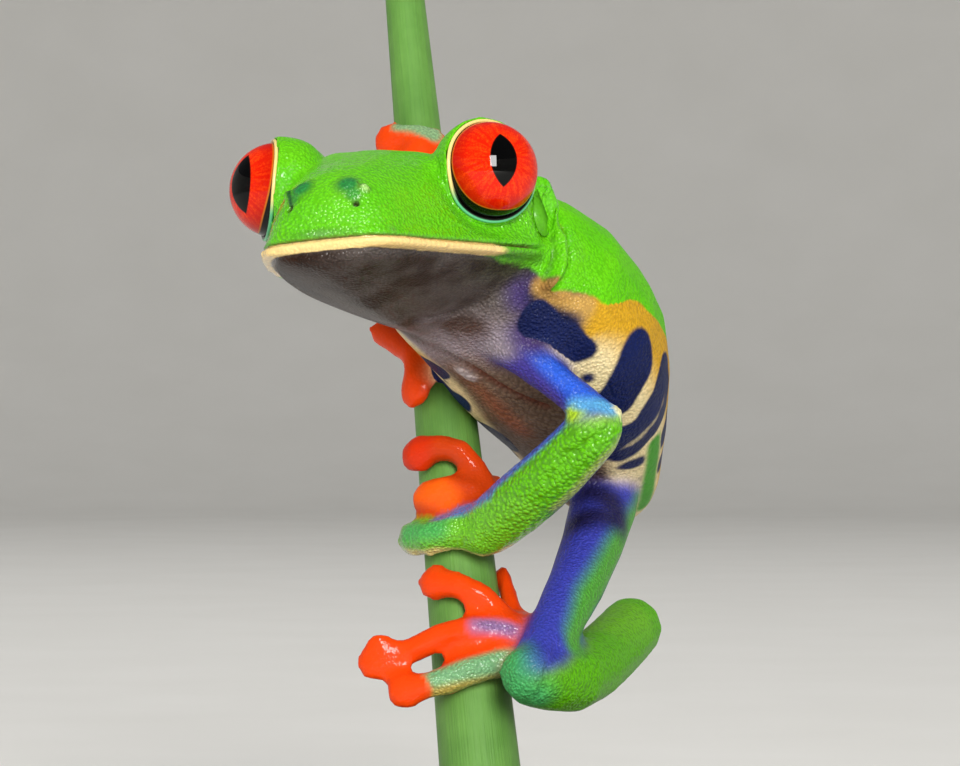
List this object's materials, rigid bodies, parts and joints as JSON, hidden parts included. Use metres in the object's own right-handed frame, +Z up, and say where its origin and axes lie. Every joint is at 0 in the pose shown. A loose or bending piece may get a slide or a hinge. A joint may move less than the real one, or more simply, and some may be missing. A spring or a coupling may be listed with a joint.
{
  "type": "tree frog figure",
  "caption": "Life-size still red-eyed tree frog gripping a leaning plant stem with hands and feet, held over a round turned base by a short rod.",
  "frame": {"origin": "centre of the underside of the display base, on the table", "axes": "+Z up; the frog looks toward -Y and a little toward -X, and its own left side is toward +X"},
  "size_m": [0.068, 0.0718, 0.0827],
  "materials": {
    "skin_green": "moist, finely granular skin",
    "skin_flank": "moist smooth skin with cream bars",
    "skin_blue": "moist smooth skin",
    "skin_orange": "moist glossy skin",
    "eye": "wet clear cornea over a red iris",
    "eardrum": "thin satin skin",
    "plant_stem": "satin fresh green shoot",
    "walnut": "oiled, satin",
    "brass": "satin"
  },
  "bodies": {
    "root": {"head": "skin_green", "left_eardrum": "eardrum", "left_eye": "eye", "left_foot": "skin_orange", "left_forearm": "skin_green", "left_hand": "skin_orange", "left_shank": "skin_green", "left_tarsus": "skin_orange", "left_thigh": "skin_blue", "left_upper_arm": "skin_blue", "perch_stem": "plant_stem", "right_eardrum": "eardrum", "right_eye": "eye", "right_foot": "skin_orange", "right_forearm": "skin_green", "right_hand": "skin_orange", "right_shank": "skin_green", "right_tarsus": "skin_orange", "right_thigh": "skin_blue", "right_upper_arm": "skin_blue", "stand_base": "walnut", "stand_rod": "brass", "torso": "skin_flank"}
  },
  "joints": []
}
